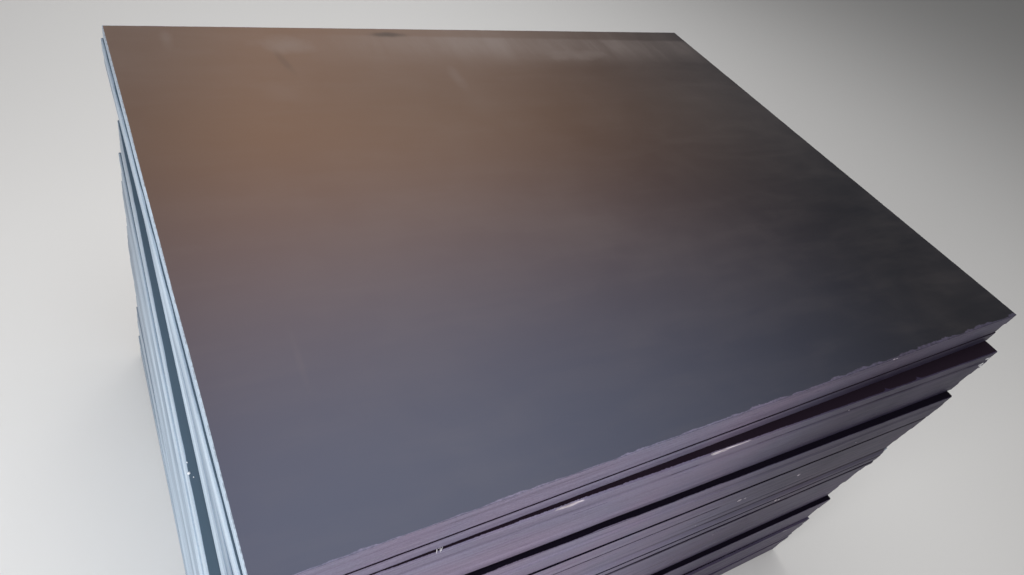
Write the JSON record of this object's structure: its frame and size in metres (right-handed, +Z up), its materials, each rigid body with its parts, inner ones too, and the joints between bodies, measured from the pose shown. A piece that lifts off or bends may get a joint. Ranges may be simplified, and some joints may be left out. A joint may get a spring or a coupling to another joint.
{
  "type": "stack of film-faced plywood sheets",
  "caption": "Neat flat stack of dark film-faced plywood sheets with painted edges, laid in lifts that are shifted and turned a little.",
  "frame": {"origin": "middle of the stack's bounding box, at its underside on the floor", "axes": "+X to the right along the long edges, +Y from the front to the back, +Z up through the stack"},
  "size_m": [1.224, 0.9658, 0.756],
  "materials": {
    "film_faced_plywood": "satin dark phenolic film on both faces, greyish painted edges"
  },
  "bodies": {
    "root": {"sheet_01": "film_faced_plywood", "sheet_02": "film_faced_plywood", "sheet_03": "film_faced_plywood", "sheet_04": "film_faced_plywood", "sheet_05": "film_faced_plywood", "sheet_06": "film_faced_plywood", "sheet_07": "film_faced_plywood", "sheet_08": "film_faced_plywood", "sheet_09": "film_faced_plywood", "sheet_10": "film_faced_plywood", "sheet_11": "film_faced_plywood", "sheet_12": "film_faced_plywood", "sheet_13": "film_faced_plywood", "sheet_14": "film_faced_plywood", "sheet_15": "film_faced_plywood", "sheet_16": "film_faced_plywood", "sheet_17": "film_faced_plywood", "sheet_18": "film_faced_plywood", "sheet_19": "film_faced_plywood", "sheet_20": "film_faced_plywood", "sheet_21": "film_faced_plywood", "sheet_22": "film_faced_plywood", "sheet_23": "film_faced_plywood", "sheet_24": "film_faced_plywood", "sheet_25": "film_faced_plywood", "sheet_26": "film_faced_plywood", "sheet_27": "film_faced_plywood", "sheet_28": "film_faced_plywood", "sheet_29": "film_faced_plywood", "sheet_30": "film_faced_plywood", "sheet_31": "film_faced_plywood", "sheet_32": "film_faced_plywood", "sheet_33": "film_faced_plywood", "sheet_34": "film_faced_plywood", "sheet_35": "film_faced_plywood", "sheet_36": "film_faced_plywood"}
  },
  "joints": []
}
